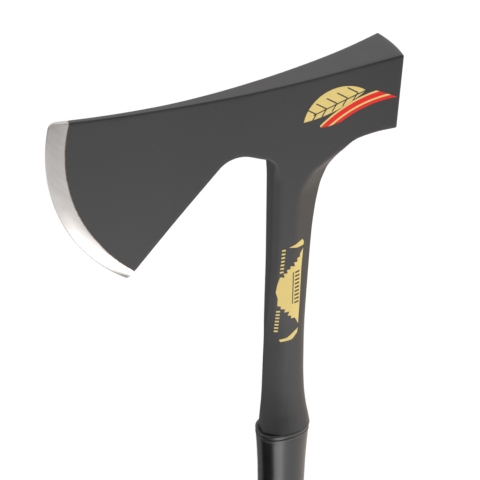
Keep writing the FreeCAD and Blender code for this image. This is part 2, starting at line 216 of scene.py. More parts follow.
def trim(run, length, from_end):
    """Cut a length off one end of a run of points."""
    points = run[::-1] if from_end else run
    along = np.r_[0, np.cumsum(np.linalg.norm(np.diff(points, axis=0), axis=1))]
    keep = along > length + 1e-6
    first = int(np.argmax(keep))
    t = (length - along[first - 1]) / (along[first] - along[first - 1])
    cut = points[first - 1] + (points[first] - points[first - 1]) * t
    points = np.vstack([cut, points[first:]])
    return points[::-1] if from_end else points


def closed_outline(runs, radii, step):
    """Join runs end to end into one loop, rounding the corner after each run by its radius."""
    runs = [np.array(run, float) for run in runs]
    count = len(runs)
    corners = []
    for i, radius in enumerate(radii):
        before, after = runs[i], runs[(i + 1) % count]
        if radius <= 0:
            corners.append(None)
            continue
        corner = before[-1]
        into = before[-2] - corner
        out = after[1] - corner
        into, out = into / np.linalg.norm(into), out / np.linalg.norm(out)
        half = math.acos(float(np.clip(into @ out, -1, 1))) / 2
        middle = (into + out) / np.linalg.norm(into + out)
        centre = corner + middle * radius / math.sin(half)
        reach = radius / math.tan(half)
        first, last = corner + into * reach - centre, corner + out * reach - centre
        turn = math.atan2(first[0] * last[1] - first[1] * last[0], first @ last)
        pieces = max(3, int(round(abs(turn) * radius / step)))
        angles = math.atan2(first[1], first[0]) + turn * np.linspace(0, 1, pieces + 1)
        corners.append((reach, centre + radius * np.c_[np.cos(angles), np.sin(angles)]))
    points = []
    for i, run in enumerate(runs):
        ahead, behind = corners[i - 1], corners[i]
        if ahead:
            run = trim(run, ahead[0], False)
        if behind:
            run = trim(run, behind[0], True)
        points.append(run[:-1])
        if behind:
            points.append(behind[1][:-1])
        else:
            points.append(run[-1:][:0])
    loop = np.vstack(points)
    gaps = np.linalg.norm(loop - np.roll(loop, 1, axis=0), axis=1)
    return loop[gaps > 0.05]


# ---- shape of the forging -----------------------------------------------
def top_line(x):
    return TOP_SAG[1] + TOP_RADIUS - np.sqrt(TOP_RADIUS ** 2 - (x - TOP_SAG[0]) ** 2)


def forging_outline(step):
    toe = EDGE_CENTRE + EDGE_RADIUS * np.array([math.cos(EDGE_TOE_TURN), math.sin(EDGE_TOE_TURN)])
    toe[1] = top_line(toe[0])
    toe_turn = math.atan2(toe[1] - EDGE_CENTRE[1], toe[0] - EDGE_CENTRE[0])
    heel = np.array([HEEL_X, NOTCH[1] + BEARD_SLOPE * (HEEL_X - NOTCH[0])])
    heel_turn = math.atan2(heel[1] - EDGE_CENTRE[1], heel[0] - EDGE_CENTRE[0]) + 2 * math.pi
    edge = arc(EDGE_CENTRE, EDGE_RADIUS, toe_turn, heel_turn, step)
    front_z = np.arange(SHANK_CORNER[1], COLLAR_Z, -step)
    front = np.c_[through(SHANK_FRONT, front_z), front_z]
    front = np.vstack([front, [SHANK_FRONT[0][1], COLLAR_Z]])
    rear_z = np.arange(COLLAR_Z, REAR_SWEEP[0][1] - step / 2, step)
    lower_rear = np.c_[through(SHANK_REAR, rear_z), rear_z]
    rear = np.vstack([lower_rear, spline_run(REAR_SWEEP, step)])
    poll_top = np.array([POLL_TOP_X, float(top_line(POLL_TOP_X))])
    top_x = np.linspace(poll_top[0], edge[0][0], int((poll_top[0] - edge[0][0]) / step))
    runs = [
        edge,
        line(edge[-1], NOTCH, step),
        line(NOTCH, SHANK_CORNER, step),
        front,
        line(front[-1], lower_rear[0], step),
        rear,
        line(POLL_BOTTOM, poll_top, step),
        np.c_[top_x, top_line(top_x)],
    ]
    radii = [HEEL_RADIUS, NOTCH_RADIUS, SHANK_CORNER_RADIUS, 0, 0, POLL_RADIUS, POLL_RADIUS, TOE_RADIUS]
    return closed_outline(runs, radii, step * 0.5)


def edge_distance(points):
    """How far inside the cutting edge's arc each point is."""
    return EDGE_RADIUS - np.linalg.norm(points - EDGE_CENTRE, axis=1)


def bevel_width(away):
    """Width of the ground bevel at places given from the edge's centre."""
    turn = np.degrees(np.arctan2(away[:, 1], away[:, 0])) % 360
    return through(BEVEL_WIDTHS, turn)


def bevel_half(points):
    """Half thickness of the ground bevel, which meets the cheek along its upper line."""
    away = points - EDGE_CENTRE
    distance = np.linalg.norm(away, axis=1)
    into = np.maximum(EDGE_RADIUS - distance, 0)
    width = bevel_width(away)
    meets = EDGE_CENTRE + away * ((EDGE_RADIUS - width) / distance)[:, None]
    rise = through(CHEEK, meets[:, 0]) - BEVEL_OFFSET
    share = into / width
    half = BEVEL_OFFSET + rise * ((1 + BEVEL_ROUNDING) * share - BEVEL_ROUNDING * share ** 2)
    half = np.minimum(half, EDGE_LAND + HONED_SLOPE * into)
    half[(share > 1.3) | (points[:, 0] > BEVEL_END_X)] = np.inf
    return half


def face_half(points):
    """Half thickness of head and shank before their edges are rounded."""
    x, z = points[:, 0], points[:, 1]
    flats = through(CHEEK, x)
    crease = through(REAR_CREASE, z)
    facet = through(CHEEK, crease) - REAR_FACET_SLOPE * (x - crease)
    flats = soft_min(flats, facet, 0.5)
    front, rear = through(SHANK_FRONT, z), through(SHANK_REAR, z)
    side = np.clip((x - (front + rear) / 2) / ((rear - front) / 2), -1, 1)
    u = np.abs(side)
    full = through(SHANK_HALF, z)
    flat = through(FRONT_FLAT, z)
    behind = full * (1 - u ** OVAL_SQUARENESS) ** (1 / OVAL_SQUARENESS)
    ahead = flat + (full - flat) * (1 - u ** through(FRONT_FULLNESS, z))
    on_head = smooth(488, 548, z)
    lower = np.where(side < 0, ahead, behind)
    return np.maximum(lower * (1 - on_head) + flats * on_head, 0.12)


def edge_rounding(outline):
    """Depth and drop of the rounding along each point of the outline."""
    x, z = outline.T
    plain = 0.7
    depth = np.full(len(x), plain)
    drop = np.full(len(x), plain)
    poll = x > 50
    depth[poll] = drop[poll] = 0.7
    shank = (z < 612.4) & (x > -18) & (x < 0)
    nose = 1 - smooth(596, 613.5, z)
    half = face_half(outline)
    on_head = smooth(488, 548, z)
    wide = np.maximum(half - through(FRONT_FLAT, z), plain) * on_head + 0.45 * (1 - on_head)
    depth[shank] = (plain + (4.8 - plain) * nose * smooth(470, 520, z))[shank]
    drop[shank] = (plain + (wide - plain) * nose)[shank]
    rear = (z < 612) & (x > 0) & (x < 40)
    drop[rear] = (np.minimum(plain, 0.25 * half) * on_head)[rear]
    sharp = (np.abs(edge_distance(outline)) < 0.02) & (x < -60)
    sharp |= z < COLLAR_Z + 0.01
    depth[sharp] = 0.01
    drop[sharp] = 0.0
    return depth, drop


class Forging:
    """Height of the near and far surface above the middle plane, anywhere on the forging."""

    def __init__(self):
        self.outline = forging_outline(0.5)
        following = np.roll(self.outline, -1, axis=0)
        before = np.roll(self.outline, 1, axis=0)
        tangent = following - before
        tangent /= np.linalg.norm(tangent, axis=1)[:, None]
        area = np.sum(self.outline[:, 0] * following[:, 1] - following[:, 0] * self.outline[:, 1])
        self.inward = np.c_[-tangent[:, 1], tangent[:, 0]] * (1 if area > 0 else -1)
        self.depth, self.drop = edge_rounding(self.outline)

    def half(self, points):
        """Finished half thickness at each point of the side view."""
        points = np.asarray(points, float)
        result = np.empty(len(points))
        for start in range(0, len(points), 2000):
            block = points[start:start + 2000]
            away = block[:, None, :] - self.outline[None, :, :]
            nearest = np.argmin(np.sum(away ** 2, axis=2), axis=1)
            offset = block - self.outline[nearest]
            inside = np.abs(np.sum(offset * self.inward[nearest], axis=1))
            part = np.clip(inside / self.depth[nearest], 0, 1)
            lowered = self.drop[nearest] * (1 - np.sqrt(1 - (1 - part) ** 2))
            half = np.maximum(face_half(block) - lowered, EDGE_LAND)
            result[start:start + 2000] = np.minimum(half, bevel_half(block))
        return result


# ---- meshes -------------------------------------------------------------
def new_piece(name, verts, faces, smooth_angle=35.0):
    """Mesh object from millimetre points, in metres."""
    mesh = bpy.data.meshes.new(name)
    mesh.from_pydata([tuple(MM * c for c in v) for v in verts], [], faces)
    builder = bmesh.new()
    builder.from_mesh(mesh)
    bmesh.ops.remove_doubles(builder, verts=builder.verts, dist=1e-6)
    bmesh.ops.dissolve_degenerate(builder, edges=builder.edges, dist=1e-7)
    bmesh.ops.recalc_face_normals(builder, faces=builder.faces)
    builder.to_mesh(mesh)
    builder.free()
    mesh.polygons.foreach_set("use_smooth", [True] * len(mesh.polygons))
    mesh.set_sharp_from_angle(angle=math.radians(smooth_angle))
    piece = bpy.data.objects.new(name, mesh)
    bpy.context.scene.collection.objects.link(piece)
    return piece


def fill(loops, extra):
    """Triangles inside closed loops, using extra points as well.  Loops keep their order."""
    coords = []
    edges = []
    for loop in loops:
        first = len(coords)
        coords.extend(Vector(p) for p in loop)
        edges.extend((first + i, first + (i + 1) % len(loop)) for i in range(len(loop)))
    coords.extend(Vector(p) for p in extra)
    holes = len(loops) > 1
    verts, _, faces, origins, _, _ = delaunay_2d_cdt(coords, edges, [], 2 if holes else 1, 1e-5)
    where = {}
    for new, old in enumerate(origins):
        for index in old:
            where[index] = new
    points = np.array([tuple(v) for v in verts])
    rings = []
    first = 0
    for loop in loops:
        rings.append([where[first + i] for i in range(len(loop))])
        first += len(loop)
    return points, [tuple(f) for f in faces], rings


def hex_grid(low, high, spacing):
    """Evenly packed points over a rectangle."""
    rows = []
    z = low[1]
    shifted = False
    while z < high[1]:
        x = np.arange(low[0] + (spacing / 2 if shifted else 0), high[0], spacing)
        rows.append(np.c_[x, np.full(len(x), z)])
        z += spacing * 0.866
        shifted = not shifted
    return np.vstack(rows)


def inside_loop(points, loop):
    """Which points lie inside a closed loop."""
    x, z = points[:, 0][:, None], points[:, 1][:, None]
    x0, z0 = loop[:, 0][None, :], loop[:, 1][None, :]
    x1, z1 = np.roll(loop[:, 0], -1)[None, :], np.roll(loop[:, 1], -1)[None, :]
    crosses = (z0 > z) != (z1 > z)
    with np.errstate(divide="ignore", invalid="ignore"):
        at = x0 + (z - z0) * (x1 - x0) / (z1 - z0)
    return (np.sum(crosses & (x < at), axis=1) % 2) == 1


def far_from(points, others, distance):
    """Points that keep a distance from all the others."""
    keep = np.ones(len(points), bool)
    for start in range(0, len(points), 2000):
        block = points[start:start + 2000]
        away = np.sum((block[:, None, :] - others[None, :, :]) ** 2, axis=2)
        keep[start:start + 2000] = away.min(axis=1) > distance ** 2
    return points[keep]


def bevel_boundary(step):
    """Where the ground bevel meets the cheek."""
    turns = np.arange(EDGE_TOE_TURN - 0.02, EDGE_HEEL_TURN + 0.02, step / EDGE_RADIUS)
    outward = np.c_[np.cos(turns), np.sin(turns)]
    return outward, bevel_width(outward)


def forging_points(outline):
    """Inner points of the forging's side view, dense where the surface turns."""
    following = np.roll(outline, -1, axis=0) - np.roll(outline, 1, axis=0)
    tangent = following / np.linalg.norm(following, axis=1)[:, None]
    area = np.sum(outline[:, 0] * np.roll(outline[:, 1], -1) - np.roll(outline[:, 0], -1) * outline[:, 1])
    inward = np.c_[-tangent[:, 1], tangent[:, 0]] * (1 if area > 0 else -1)
    depth, _ = edge_rounding(outline)
    x, z = outline.T
    oval = (z < 548) & (z > COLLAR_Z + 0.01) & (x > 0)
    depth = np.where(oval, 4.8, np.maximum(depth, 0.7))
    rings = []
    for k in range(1, 8):
        share = 1 - math.cos(k / 7 * math.pi / 2)
        rings.append(outline + inward * (depth * share)[:, None])
    offsets = np.vstack(rings)
    offsets = offsets[inside_loop(offsets, outline)]
    direction, width = bevel_boundary(0.9)
    seams = []
    for shift in (-0.18, 0.0, 0.18):
        seams.append(EDGE_CENTRE + direction * (EDGE_RADIUS - width + shift)[:, None])
    seams = np.vstack(seams)
    seams = seams[inside_loop(seams, outline)]
    seams = far_from(seams, outline, 0.15)
    offsets = far_from(offsets, seams, 0.12)
    fixed = np.vstack([offsets, seams])
    coarse = hex_grid((-130, 500), (60, 662), 2.0)
    fine = hex_grid((-20, COLLAR_Z), (32, 616), 1.1)
    coarse = coarse[~((coarse[:, 0] > -20) & (coarse[:, 0] < 32) & (coarse[:, 1] < 616))]
    grid = np.vstack([coarse, fine])
    grid = grid[inside_loop(grid, outline)]
    grid = far_from(grid, outline, 0.6)
    grid = far_from(grid, fixed, 0.75)
    return np.vstack([fixed, grid])


def poll_bulge(x, share):
    """How far the striking face stands out, fading away at its top and bottom corners."""
    return POLL_CROWN * float(smooth(52.6, 53.8, x)) * (1 - share ** 2)


def rim_walls(points, half, ring, across, verts, solid, skip=None):
    """Walls across the thickness along one loop of the side view."""
    count = len(points)
    columns = []
    for i in ring:
        x, z = points[i]
        column = [i]
        for k in range(1, across):
            column.append(len(verts))
            share = 2 * k / across - 1
            verts.append((x + poll_bulge(x, share), half[i] * share, z))
        column.append(count + i)
        columns.append(column)
    for i in range(len(ring)):
        a, b = columns[i], columns[(i + 1) % len(ring)]
        if skip and skip(points[a[0]]) and skip(points[b[0]]):
            continue
        for k in range(across):
            solid.append((a[k], b[k], b[k + 1], a[k + 1]))
    return columns


def superellipse(half_x, half_y, squareness, count):
    turns = np.arange(count) * 2 * math.pi / count
    c, s = np.cos(turns), np.sin(turns)
    x = half_x * np.sign(c) * np.abs(c) ** (2 / squareness)
    y = half_y * np.sign(s) * np.abs(s) ** (2 / squareness)
    return np.c_[x, y]


def ring_band(first, second, faces):
    """Quads between two rings of vertex numbers."""
    for i in range(len(first)):
        j = (i + 1) % len(first)
        faces.append((first[i], first[j], second[j], second[i]))


def add_ring(verts, ring, z):
    start = len(verts)
    verts.extend((x, y, z) for x, y in ring)
    return list(range(start, start + len(ring)))


def fan(ring, middle, verts, faces):
    centre = len(verts)
    verts.append(middle)
    faces.extend((ring[i], ring[(i + 1) % len(ring)], centre) for i in range(len(ring)))


def tang_ring(z, clearance):
    share = (z - TANG_END_Z) / (COLLAR_Z - TANG_END_Z)
    half_x = TANG_BOTTOM[0] + (TANG_TOP[0] - TANG_BOTTOM[0]) * share + clearance
    half_y = TANG_BOTTOM[1] + (TANG_TOP[1] - TANG_BOTTOM[1]) * share + clearance
    return superellipse(half_x, half_y, 8, GRIP_AROUND)


def add_tang(points, columns, verts, solid):
    """Bottom of the collar with the tang standing out of it."""
    count = len(points)
    low = [c for c in columns if points[c[0]][1] < COLLAR_Z + 0.01]
    start = next(i for i in range(len(columns)) if columns[i] in low and columns[i - 1] not in low)
    order = [columns[(start + i) % len(columns)] for i in range(len(low))]
    loop = [c[0] for c in order] + order[-1][1:-1]
    loop += [c[-1] for c in reversed(order)] + order[0][1:-1][::-1]
    outline = [verts[i][:2] for i in loop]
    tang = tang_ring(COLLAR_Z, 0.0)
    flat, faces, rings = fill([outline, [tuple(p) for p in tang]], [])
    number = {}
    for new, old in zip(rings[0], loop):
        number[new] = old
    top = add_ring(verts, tang, COLLAR_Z)
    for new, old in zip(rings[1], top):
        number[new] = old
    for extra in range(len(flat)):
        if extra not in number:
            number[extra] = len(verts)
            verts.append((flat[extra][0], flat[extra][1], COLLAR_Z))
    solid.extend(tuple(number[i] for i in f) for f in faces)
    above = top
    for z in np.linspace(COLLAR_Z, TANG_END_Z, 24)[1:]:
        ring = add_ring(verts, tang_ring(z, 0.0), z)
        ring_band(above, ring, solid)
        above = ring
    fan(above, (0.0, 0.0, TANG_END_Z), verts, solid)


def build_forging(shape):
    outline = forging_outline(1.0)
    points, faces, rings = fill([outline], forging_points(outline))
    half = shape.half(points)
    count = len(points)
    verts = [(x, -h, z) for (x, z), h in zip(points, half)]
    verts += [(x, h, z) for (x, z), h in zip(points, half)]
    solid = list(faces) + [tuple(count + i for i in reversed(f)) for f in faces]
    columns = rim_walls(points, half, rings[0], 8, verts, solid, lambda p: p[1] < COLLAR_Z + 0.01)
    add_tang(points, columns, verts, solid)
    piece = new_piece("forging", verts, solid)
    mark_ground(piece)
    return piece


def mark_ground(piece):
    """Store how far each point is past the upper line of the ground bevel, in mm."""
    mesh = piece.data
    co = np.empty(len(mesh.vertices) * 3)
    mesh.vertices.foreach_get("co", co)
    flat = co.reshape(-1, 3)[:, [0, 2]] / MM
    away = flat - EDGE_CENTRE
    into = EDGE_RADIUS - np.linalg.norm(away, axis=1)
    ground = np.clip(bevel_width(away) - into, -20, 20)
    ground[(flat[:, 0] > -60)] = -20
    layer = mesh.attributes.new("ground", "FLOAT", "POINT")
    layer.data.foreach_set("value", ground)


# ---- grip ---------------------------------------------------------------
def grip_halves(z):
    xs = through([(row[0], row[1]) for row in GRIP_SIZES], z)
    ys = through([(row[0], row[2]) for row in GRIP_SIZES], z)
    return xs, ys


def lip_proud(z):
    """Beads and the rounded top edge of the grip."""
    proud = 0.0
    for low, high in LIP_BEADS:
        middle, reach = (low + high) / 2, (high - low) / 2 + 0.25
        t = min(abs(z - middle) / reach, 1.0)
        proud += BEAD_PROUD * (1 - t ** 4)
    return proud - 0.5 * float(smooth(427.2, GRIP_TOP_Z, z)) ** 2


def rib_depth(x, z):
    """Shallow cross grooves on the two flat sides."""
    along = smooth(RIB_FIRST_Z - 2, RIB_FIRST_Z + 3, z) * (1 - smooth(RIB_LAST_Z - 3, RIB_LAST_Z + 2, z))
    phase = np.abs(((z - RIB_FIRST_Z) / RIB_PITCH) % 1.0 - 0.5) * 2
    groove = 1 - smooth(0.15, 0.55, phase)
    across = 1 - smooth(7.5, 11.0, np.abs(x))
    return RIB_DEPTH * along * groove * across


def grip_levels():
    levels = [0.0, 0.15, 0.5, 1.0, 1.7, 2.6, 3.8, 5.2, 7.0, 9.0]
    levels += list(np.arange(10.0, 32.0, 1.0))
    levels += list(np.arange(32.0, RIB_FIRST_Z - 2, 2.5))
    levels += list(np.arange(RIB_FIRST_Z - 2, RIB_LAST_Z + 2, 0.7))
    levels += list(np.arange(RIB_LAST_Z + 2, 420.0, 3.0))
    levels += list(np.arange(420.0, 422.6, 0.6))
    levels += list(np.arange(422.7, 427.2, 0.15))
    levels += [427.3, 427.42, 427.54, 427.65, 427.74, 427.8, GRIP_TOP_Z]
    return levels


def grip_skin(x, z):
    """Half thickness of the grip at a point of its side view."""
    half_x, half_y = grip_halves(z)
    u = np.clip(np.abs(x) / half_x, 0, 1)
    return half_y * (1 - u ** GRIP_SQUARENESS) ** (1 / GRIP_SQUARENESS)


def pierce(verts, faces):
    """Cut the hanging hole through a closed loft, with rounded rims and a tube between them."""
    centre = np.array([0.0, HANG_HOLE_Z])
    reach = HANG_HOLE_RADIUS + HANG_RIM + 1.6
    flat = np.array(verts)[:, [0, 2]]
    near = np.linalg.norm(flat - centre, axis=1) < reach
    kept, patches = [], {-1: [], 1: []}
    for f in faces:
        level = np.mean([verts[i][1] for i in f])
        outer = abs(level) > 8
        if outer and all(near[i] for i in f):
            patches[1 if level > 0 else -1].append(f)
        else:
            kept.append(f)
    turns = np.arange(48) * 2 * math.pi / 48
    circle = np.c_[np.cos(turns), np.sin(turns)]
    rims = {}
    for side, patch in patches.items():
        edges = {}
        for f in patch:
            for a, b in zip(f, f[1:] + f[:1]):
                edges[(a, b)] = True
        following = {a: b for a, b in edges if (b, a) not in edges}
        loop = [next(iter(following))]
        while following[loop[-1]] != loop[0]:
            loop.append(following[loop[-1]])
        wide = centre + circle * (HANG_HOLE_RADIUS + HANG_RIM)
        outline = [tuple(flat[i]) for i in loop]
        _, fresh, rings = fill([outline, [tuple(p) for p in wide]], [])
        surface = grip_skin(wide[:, 0], wide[:, 1])
        rim = []
        for x_z, level in zip(wide, surface):
            rim.append(len(verts))
            verts.append((x_z[0], side * level, x_z[1]))
        number = dict(zip(rings[0], loop))
        number.update(dict(zip(rings[1], rim)))
        for f in fresh:
            numbered = tuple(number[i] for i in f)
            kept.append(numbered if side < 0 else numbered[::-1])
        for k in range(1, 6):
            turn = k / 5 * math.pi / 2
            radius = HANG_HOLE_RADIUS + HANG_RIM * (1 - math.sin(turn))
            sink = HANG_RIM * (1 - math.cos(turn))
            ring = []
            for c, level in zip(circle, surface):
                ring.append(len(verts))
                verts.append((centre[0] + c[0] * radius, side * (level - sink), centre[1] + c[1] * radius))
            ring_band(rim, ring, kept)
            rim = ring
        rims[side] = rim
    last = rims[-1]
    for k in range(1, 8):
        ring = []
        for a, b in zip(rims[-1], rims[1]):
            ring.append(len(verts))
            verts.append((verts[a][0], verts[a][1] + (verts[b][1] - verts[a][1]) * k / 8, verts[a][2]))
        ring_band(last, ring, kept)
        last = ring
    ring_band(last, rims[1], kept)
    return verts, kept


def build_grip():
    verts, faces = [], []
    below = None
    for z in grip_levels():
        half_x, half_y = grip_halves(z)
        proud = lip_proud(z)
        ring = superellipse(half_x + proud, half_y + proud, GRIP_SQUARENESS, GRIP_AROUND)
        squeeze = 1 - rib_depth(ring[:, 0], z) / half_y
        ring[:, 1] *= squeeze
        numbers = add_ring(verts, ring, z)
        if below:
            ring_band(below, numbers, faces)
        else:
            fan(numbers, (0.0, 0.0, 0.0), verts, faces)
        below = numbers
    for z in (GRIP_TOP_Z, 300.0, 160.0, TANG_END_Z):
        numbers = add_ring(verts, tang_ring(z, 0.05), z)
        ring_band(below, numbers, faces)
        below = numbers
    fan(below, (0.0, 0.0, TANG_END_Z - 0.05), verts, faces)
    verts, faces = pierce(verts, faces)
    return new_piece("grip_sleeve", verts, faces, 50)


# ---- printed films ------------------------------------------------------
def region_mesh(name, shape, loops, keep):
    """Thin film over the part of the near face that the keep rule picks out."""
    coords, edges = [], []
    for loop in loops:
        first = len(coords)
        coords.extend(Vector(p) for p in loop)
        edges.extend((first + i, first + (i + 1) % len(loop)) for i in range(len(loop)))
    every = np.vstack([np.array(loop) for loop in loops])
    grid = hex_grid(every.min(axis=0), every.max(axis=0), 1.1)
    grid = far_from(grid, every, 0.35)
    grid = grid[keep(grid)]
    coords.extend(Vector(p) for p in grid)
    flat, _, faces, _, _, _ = delaunay_2d_cdt(coords, edges, [], 0, 1e-4)
    flat = np.array([tuple(v) for v in flat])
    middles = np.array([np.mean(flat[list(f)], axis=0) for f in faces])
    faces = [tuple(f) for f, inside in zip(faces, keep(middles)) if inside]
    used = sorted({i for f in faces for i in f})
    number = {old: new for new, old in enumerate(used)}
    flat = flat[used]
    faces = [tuple(number[i] for i in f) for f in faces]
    half = shape.half(flat)
    count = len(flat)
    verts = [(x, -h - FILM, z) for (x, z), h in zip(flat, half)]
    verts += [(x, -h + 0.05, z) for (x, z), h in zip(flat, half)]
    solid = faces + [tuple(count + i for i in reversed(f)) for f in faces]
    sides = {}
    for f in faces:
        for a, b in zip(f, f[1:] + f[:1]):
            sides[(a, b)] = True
    for a, b in sides:
        if (b, a) not in sides:
            solid.append((b, a, count + a, count + b))
    return new_piece(name, verts, solid, 40)


def within(loops):
    """Rule that picks the points inside any of the loops."""
    loops = [np.array(loop) for loop in loops]

    def rule(points):
        found = np.zeros(len(points), bool)
        for loop in loops:
            found |= inside_loop(points, loop)
        return found
    return rule


def dense(loop, step=1.0):
    """The same closed loop with points along its long sides."""
    points = []
    for i, start in enumerate(loop):
        end = loop[(i + 1) % len(loop)]
        points.extend(tuple(p) for p in line(start, end, step)[:-1])
    return points


def ribbon_window():
    (left_high, left_low) = RIBBON_LEFT_CUT
    (right_low, right_high) = RIBBON_RIGHT_CUT
    above = [(right_high[0] - 10, right_high[1] + 6), (left_high[0] - 6, left_high[1] + 16)]
    below = [(left_low[0] + 10, left_low[1] - 2), (right_low[0], right_low[1] - 3)]
    return [left_high, left_low] + below + [right_low, right_high] + above


def ribbon_loops(radii):
    """Outlines of the ribbon's bands between its two slanting ends."""
    window = np.array(ribbon_window())
    loops = []
    for inner, outer in radii:
        spans = []
        for radius in (inner, outer):
            turns = np.linspace(math.radians(80), math.radians(150), 1400)
            run = np.array(RIBBON_CENTRE) + radius * np.c_[np.cos(turns), np.sin(turns)]
            run = run[inside_loop(run, window)]
            count = int(len(run) * math.radians(70) / 1400 * radius) + 2
            spans.append(run[np.linspace(0, len(run) - 1, count).astype(int)])
        loops.append([tuple(p) for p in spans[0]] + [tuple(p) for p in spans[1][::-1]])
    return loops


def strip(start, end, width):
    """Corners of a straight strip between two points."""
    dx, dz = end[0] - start[0], end[1] - start[1]
    length = math.hypot(dx, dz)
    sx, sz = -dz / length * width / 2, dx / length * width / 2
    return [(start[0] + sx, start[1] + sz), (end[0] + sx, end[1] + sz),
            (end[0] - sx, end[1] - sz), (start[0] - sx, start[1] - sz)]


def arc_through(start, middle, end, count):
    """Points of the circle's arc through three points."""
    (ax, ay), (bx, by), (cx, cy) = start, middle, end
    d = 2 * (ax * (by - cy) + bx * (cy - ay) + cx * (ay - by))
    a2, b2, c2 = ax * ax + ay * ay, bx * bx + by * by, cx * cx + cy * cy
    ux = (a2 * (by - cy) + b2 * (cy - ay) + c2 * (ay - by)) / d
    uy = (a2 * (cx - bx) + b2 * (ax - cx) + c2 * (bx - ax)) / d
    radius = math.hypot(ax - ux, ay - uy)
    turns = np.unwrap([math.atan2(y - uy, x - ux) for x, y in (start, middle, end)])
    return [(ux + radius * math.cos(t), uy + radius * math.sin(t))
            for t in np.linspace(turns[0], turns[2], count)]


def leaf_loops():
    outer = arc_through(LEAF_TIP, LEAF_TOP, LEAF_STEM, 36)[:-1]
    outer += arc_through(LEAF_STEM, LEAF_BOTTOM, LEAF_TIP, 36)[:-1]
    veins = [strip((LEAF_TIP[0] + 5, LEAF_TIP[1] + 3.2), LEAF_STEM, VEIN_WIDTH)]
    for i in range(VEIN_COUNT):
        along = (i + 1.2) / (VEIN_COUNT + 1)
        x = LEAF_TIP[0] + (LEAF_STEM[0] - LEAF_TIP[0]) * along
        z = LEAF_TIP[1] + (LEAF_STEM[1] - LEAF_TIP[1]) * along + 1.0
        veins.append(strip((x, z), (x - 5.5, z + 3.6), VEIN_WIDTH))
        veins.append(strip((x, z), (x - 2.4, z - 4.2), VEIN_WIDTH))
    return outer, veins


def fir_edge(start, end):
    """Row of fir tops between two points."""
    dx, dz = end[0] - start[0], end[1] - start[1]
    length = math.hypot(dx, dz)
    count = int(length / FIR_WIDTH)
    points = []
    for i in range(count):
        base, top = i / count, (i + 0.5) / count
        depth = FIR_DEPTH * (0.7 + 0.3 * (i % 3))
        points.append((start[0] + dx * base, start[1] + dz * base))
        points.append((start[0] + dx * top - dz / length * depth,
                       start[1] + dz * top + dx / length * depth))
    return points


def rectangle(x, z, wide, high):
    return [(x, z), (x + wide, z), (x + wide, z + high), (x, z + high)]


def label_loops():
    panel = PANEL_RIGHT + fir_edge(PANEL_FIRS_TOP, PANEL_SIDE_TOP) + [PANEL_SIDE_TOP] + PANEL_SIDE
    panel += fir_edge(PANEL_SIDE_BOTTOM, PANEL_FIRS_BOTTOM)
    wide, high = SCALE_BAR_SIZE
    bottom = SCALE_TOP_Z - (SCALE_BARS - 1) * SCALE_PITCH - high
    marks = [rectangle(SCALE_LEFT_X, bottom, 0.6, SCALE_TOP_Z - bottom)]
    for i in range(SCALE_BARS):
        marks.append(rectangle(SCALE_LEFT_X + 1.3, SCALE_TOP_Z - i * SCALE_PITCH - high, wide, high))
    shapes = [panel, PANEL_TOP_STRIP, PANEL_BOTTOM_STRIP]
    for first_x, first_z, drift in TICK_COLUMNS:
        for i in range(TICK_COUNT):
            shapes.append(rectangle(first_x + i * drift, first_z - i * TICK_PITCH, *TICK_SIZE))
    return shapes, marks


def build_films(shape):
    leaf, veins = leaf_loops()
    gold = ribbon_loops(RIBBON_GOLD)
    red = ribbon_loops(RIBBON_RED)
    in_leaf, in_veins, in_gold = within([leaf]), within(veins), within(gold)
    gold_piece = region_mesh("emblem_gold_film", shape, [leaf] + veins + gold,
                             lambda p: (in_leaf(p) & ~in_veins(p)) | in_gold(p))
    red_piece = region_mesh("emblem_red_film", shape, red, within(red))
    shapes, marks = label_loops()
    shapes = [dense(s) for s in shapes]
    in_shapes, in_marks = within(shapes), within(marks)
    label_piece = region_mesh("shank_label_film", shape, shapes + marks,
                              lambda p: in_shapes(p) & ~in_marks(p))
    return gold_piece, red_piece, label_piece


# ---- materials ----------------------------------------------------------
class Graph:
    """A node tree, with short ways to add nodes and join them."""

    def __init__(self, tree):
        self.tree = tree
        tree.nodes.clear()

    def add(self, kind, inputs=(), **settings):
        node = self.tree.nodes.new(kind)
        for name, value in settings.items():
            setattr(node, name, value)
        for name, value in dict(inputs).items():
            if isinstance(value, bpy.types.NodeSocket):
                self.tree.links.new(value, node.inputs[name])
            else:
                node.inputs[name].default_value = value
        return node

    def math(self, operation, a, b=0.0, c=0.0):
        node = self.add("ShaderNodeMath", {0: a, 1: b, 2: c}, operation=operation)
        return node.outputs[0]

    def noise(self, vector, size, detail=2.0, roughness=0.5):
        """Noise whose grain is about the given size in mm."""
        inputs = {"Vector": vector, "Scale": 1 / (size * MM), "Detail": detail, "Roughness": roughness}
        return self.add("ShaderNodeTexNoise", inputs).outputs["Fac"]

    def span(self, value, low, high, to_low, to_high, smooth_step=False):
        inputs = {"Value": value, "From Min": low, "From Max": high, "To Min": to_low, "To Max": to_high}
        kind = "SMOOTHSTEP" if smooth_step else "LINEAR"
        return self.add("ShaderNodeMapRange", inputs, interpolation_type=kind).outputs["Result"]

    def blend(self, share, a, b):
        node = self.add("ShaderNodeMix", data_type="RGBA")
        for socket, value in ((node.inputs["Factor"], share), (node.inputs[6], a), (node.inputs[7], b)):
            if isinstance(value, bpy.types.NodeSocket):
                self.tree.links.new(value, socket)
            else:
                socket.default_value = value
        return node.outputs[2]

    def stretch(self, vector, turn, sizes):
        """Coordinates turned about Y and scaled, for grain with a direction."""
        turned = self.add("ShaderNodeMapping", {"Vector": vector, "Rotation": (0.0, turn, 0.0)})
        return self.add("ShaderNodeMapping", {"Vector": turned.outputs[0], "Scale": sizes}).outputs[0]

    def bump(self, height, strength, depth, normal=None):
        inputs = {"Height": height, "Strength": strength, "Distance": depth * MM}
        if normal:
            inputs["Normal"] = normal
        return self.add("ShaderNodeBump", inputs).outputs[0]


